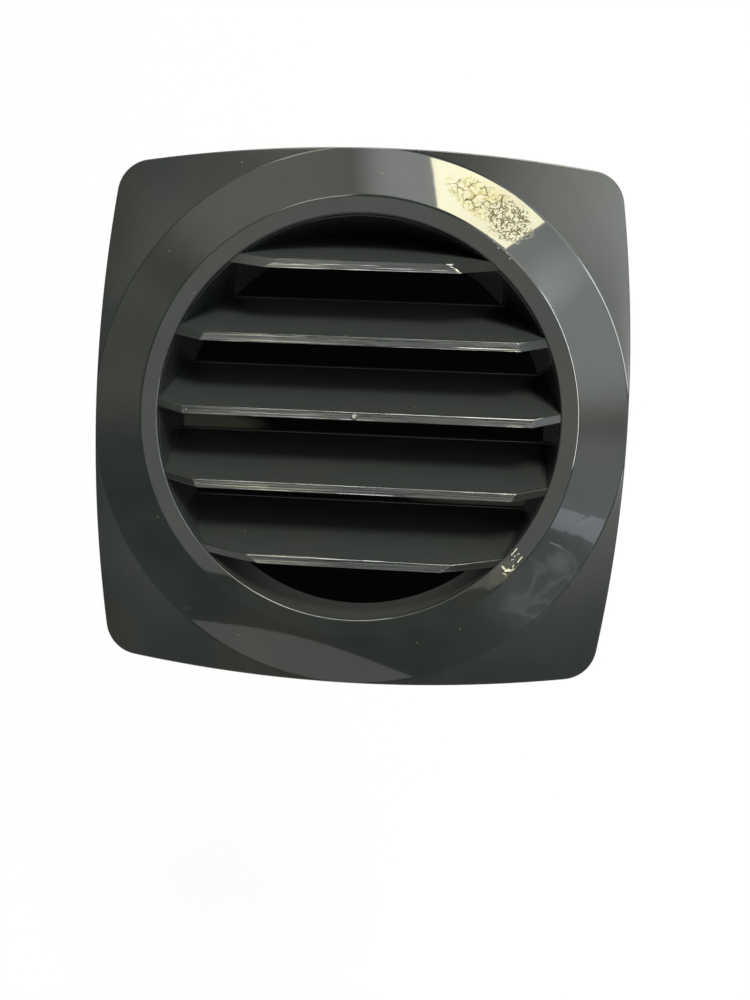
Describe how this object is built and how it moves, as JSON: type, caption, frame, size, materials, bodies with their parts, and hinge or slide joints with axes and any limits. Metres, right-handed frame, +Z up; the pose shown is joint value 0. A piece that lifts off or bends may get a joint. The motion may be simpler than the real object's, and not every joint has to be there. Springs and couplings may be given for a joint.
{
  "type": "ventilation grille",
  "caption": "Square louvred ventilation grille with bowed sides, a raised round ring, fixed sloping slats and a rear collar that plugs into a round duct.",
  "frame": {"origin": "on the duct's axis, in the plane of the wall that the plate's rear edge sits on", "axes": "+Y into the wall along the duct's axis, +Z up, +X to the right as seen from the front"},
  "size_m": [0.1004, 0.0172, 0.1004],
  "materials": {
    "anthracite_plastic": "glossy dark grey injection-moulded plastic"
  },
  "bodies": {
    "root": {"grille": "anthracite_plastic"}
  },
  "joints": []
}
